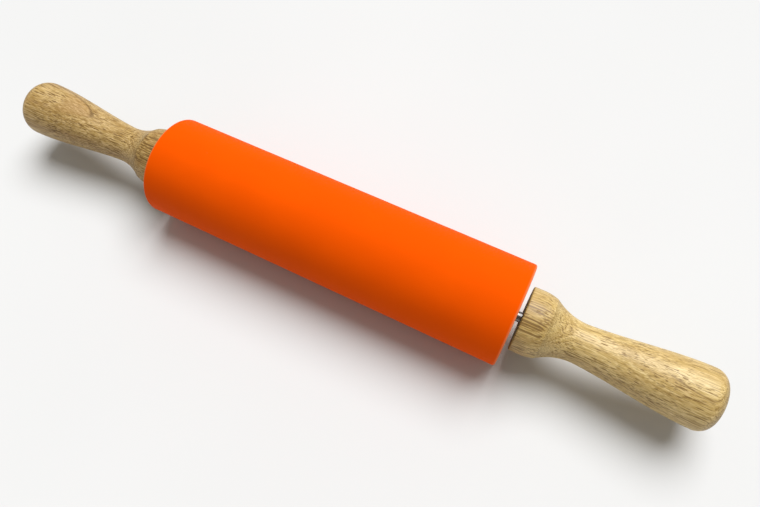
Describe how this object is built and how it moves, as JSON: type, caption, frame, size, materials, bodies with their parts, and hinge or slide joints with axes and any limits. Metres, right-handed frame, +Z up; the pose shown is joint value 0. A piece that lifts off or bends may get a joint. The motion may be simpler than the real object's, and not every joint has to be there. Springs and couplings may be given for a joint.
{
  "type": "rolling pin",
  "caption": "Rolling pin with a silicone-covered wooden barrel that turns on a steel axle, running in ball bearings between two turned wooden handles.",
  "frame": {"origin": "on the axle, at the middle of the barrel and of the whole pin", "axes": "+X along the axle towards the right handle, +Z up; the pin lies on its barrel, 25.4 mm below the origin"},
  "size_m": [0.38, 0.0508, 0.0508],
  "materials": {
    "sleeve_silicone": "smooth matte moulded silicone, bright orange",
    "handle_wood": "turned pale hardwood, lightly oiled, satin",
    "core_wood": "turned pale hardwood, bare",
    "axle_steel": "bright drawn steel",
    "clip_steel": "blackened spring steel",
    "bearing_steel": "ground and polished bearing steel",
    "shield_steel": "pressed sheet steel",
    "brass_insert": "machined brass",
    "housing_nylon": "natural moulded nylon",
    "cage_nylon": "dark moulded nylon"
  },
  "bodies": {
    "axle_and_handles": {"axle_rod": "axle_steel", "left_handle": "handle_wood", "left_threaded_insert": "brass_insert", "left_bearing_inner_ring": "bearing_steel", "left_shim_washers": "axle_steel", "left_retaining_clips": "clip_steel", "right_handle": "handle_wood", "right_threaded_insert": "brass_insert", "right_bearing_inner_ring": "bearing_steel", "right_shim_washers": "axle_steel", "right_retaining_clips": "clip_steel"},
    "barrel": {"silicone_sleeve": "sleeve_silicone", "wooden_core": "core_wood", "left_bearing_housing": "housing_nylon", "left_bearing_outer_ring": "bearing_steel", "left_bearing_shields": "shield_steel", "right_bearing_housing": "housing_nylon", "right_bearing_outer_ring": "bearing_steel", "right_bearing_shields": "shield_steel"},
    "left_cage": {"left_bearing_balls": "bearing_steel", "left_ball_cage": "cage_nylon"},
    "right_cage": {"right_bearing_balls": "bearing_steel", "right_ball_cage": "cage_nylon"}
  },
  "joints": [
    {"name": "barrel_spin", "type": "hinge", "parent": "axle_and_handles", "child": "barrel", "pos_m": [0, 0, 0], "axis": [1, 0, 0], "continuous": true},
    {"name": "left_cage_orbit", "type": "hinge", "parent": "axle_and_handles", "child": "left_cage", "pos_m": [-0.0895, 0, 0], "axis": [1, 0, 0], "continuous": true},
    {"name": "right_cage_orbit", "type": "hinge", "parent": "axle_and_handles", "child": "right_cage", "pos_m": [0.0895, 0, 0], "axis": [1, 0, 0], "continuous": true}
  ],
  "couplings": [
    {"joint": "left_cage_orbit", "follows": "barrel_spin", "ratio": 0.63229},
    {"joint": "right_cage_orbit", "follows": "barrel_spin", "ratio": 0.63229}
  ]
}
